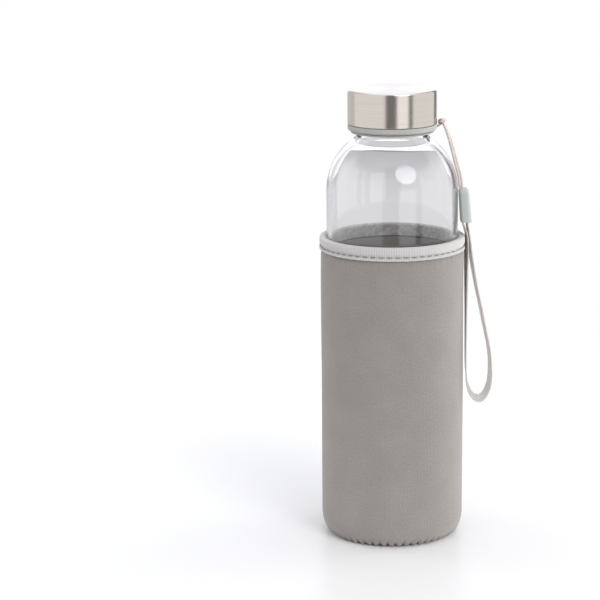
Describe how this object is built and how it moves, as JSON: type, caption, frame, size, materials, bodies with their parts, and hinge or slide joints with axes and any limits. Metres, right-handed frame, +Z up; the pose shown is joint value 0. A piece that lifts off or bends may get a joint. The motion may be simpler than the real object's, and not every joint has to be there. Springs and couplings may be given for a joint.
{
  "type": "glass water bottle",
  "caption": "Clear glass water bottle in a neoprene sleeve, with a steel covered screw lid and a cord and ribbon wrist strap on a swivelling ring.",
  "frame": {"origin": "on the bottle's axis, in the plane that the sleeve's foot stands on", "axes": "+Z up along the bottle's axis, +X towards the strap's lug, +Y the sleeve's seam"},
  "size_m": [0.084, 0.0706, 0.22],
  "materials": {
    "neoprene": "warm grey knit face on foam neoprene",
    "binding": "light grey ribbed elastic binding",
    "thread": "grey polyester thread",
    "glass": "clear, polished, faint green cast",
    "steel": "brushed round the side, satin on top",
    "plastic": "soft grey green, slightly translucent",
    "silicone": "milky white silicone",
    "cord": "fine beige braided cord",
    "ribbon": "grey beige woven ribbon with ribbed edges"
  },
  "bodies": {
    "sleeve": {"sleeve_body": "neoprene", "sleeve_base": "neoprene", "rim_binding": "binding", "rim_stitch_thread": "thread", "base_stitch_thread": "thread", "side_seam_thread": "thread"},
    "bottle": {"glass_bottle": "glass"},
    "gasket": {"lid_gasket": "silicone"},
    "lid": {"lid_shell": "steel", "lid_liner": "plastic"},
    "strap_collar": {"strap_ring": "plastic"},
    "strap": {"strap_cord": "cord", "strap_clasp": "plastic", "strap_ribbon": "ribbon"}
  },
  "joints": [
    {"name": "bottle_pull", "type": "slide", "parent": "sleeve", "child": "bottle", "axis": [0, 0, 1], "range_m": [0, 0.16]},
    {"name": "lid_lift", "type": "slide", "parent": "bottle", "child": "gasket", "axis": [0, 0, 1], "range_m": [0, 0.0252]},
    {"name": "lid_turn", "type": "hinge", "parent": "gasket", "child": "lid", "pos_m": [0, 0, 0.21], "axis": [0, 0, 1], "range_deg": [0, 2160]},
    {"name": "ring_swivel", "type": "hinge", "parent": "lid", "child": "strap_collar", "pos_m": [0, 0, 0.2017], "axis": [0, 0, 1], "continuous": true},
    {"name": "strap_swing", "type": "hinge", "parent": "strap_collar", "child": "strap", "pos_m": [0.02335, 0, 0.2039], "axis": [0, -1, 0], "range_deg": [0, 150]}
  ],
  "couplings": [
    {"joint": "lid_lift", "follows": "lid_turn", "m_per_rad": 0.00066845}
  ]
}
